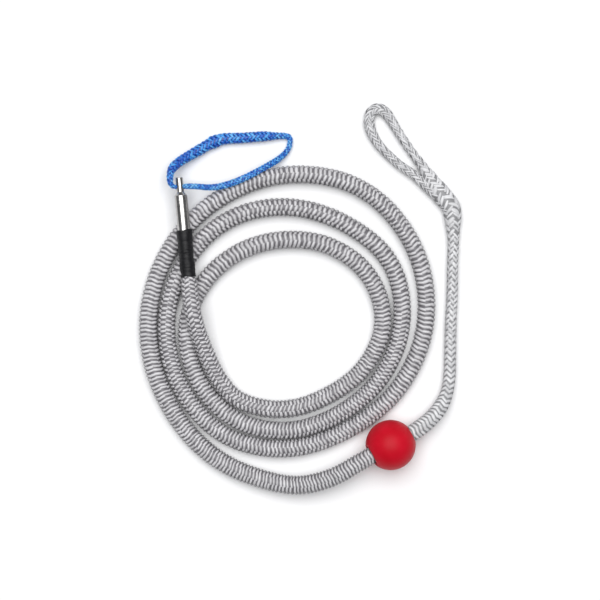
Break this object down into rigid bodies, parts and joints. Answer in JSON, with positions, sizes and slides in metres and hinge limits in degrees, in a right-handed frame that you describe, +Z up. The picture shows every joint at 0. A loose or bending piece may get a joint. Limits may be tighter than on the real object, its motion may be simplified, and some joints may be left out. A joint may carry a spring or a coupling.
{
  "type": "elastic tow line",
  "caption": "Elastic tow line in a braided cover, with a grab ball, a spliced eye, and a stepped steel pin carrying a pull loop, lying coiled.",
  "frame": {"origin": "on the surface that the line lies on, under the middle of the box around the ball, the pin with its sleeve, and the pull loop", "axes": "+Z up from the surface; +Y along the coil's long side, towards the eye and the pull loop; +X towards the thin tail; the pin points 95 degrees round from +X"},
  "size_m": [0.2072, 0.2499, 0.032],
  "materials": {
    "grey_braid": "braided filament yarn",
    "core_textile": "braided yarn",
    "core_rubber": "matt",
    "whipping_thread": "waxed thread",
    "red_plastic": "satin",
    "pin_steel": "polished stainless steel",
    "black_sleeve": "semi-matt heat-shrink tube",
    "blue_braid": "braided filament yarn"
  },
  "bodies": {
    "line": {"cover_braid": "grey_braid", "core_jacket": "core_textile", "rubber_core": "core_rubber", "core_end_whipping": "whipping_thread", "tail_braid": "grey_braid", "splice_throat": "grey_braid", "eye_buried_end": "grey_braid", "eye_braid": "grey_braid", "tow_pin": "pin_steel", "pin_whipping": "whipping_thread", "heat_shrink_sleeve": "black_sleeve"},
    "ball": {"grab_ball": "red_plastic"},
    "pull_loop": {"pull_loop_cord": "blue_braid", "pull_loop_splice": "blue_braid", "pull_loop_buried_end": "blue_braid"}
  },
  "joints": [
    {"name": "ball_spin", "type": "hinge", "parent": "line", "child": "ball", "pos_m": [0.0636, -0.0922, 0.016], "axis": [0.8764, 0.466, -0.1219], "continuous": true},
    {"name": "pull_loop_swing", "type": "hinge", "parent": "line", "child": "pull_loop", "pos_m": [-0.07031, 0.07194, 0.0166], "axis": [0.9956, 0.0941, 0], "range_deg": [0, 120]}
  ]
}
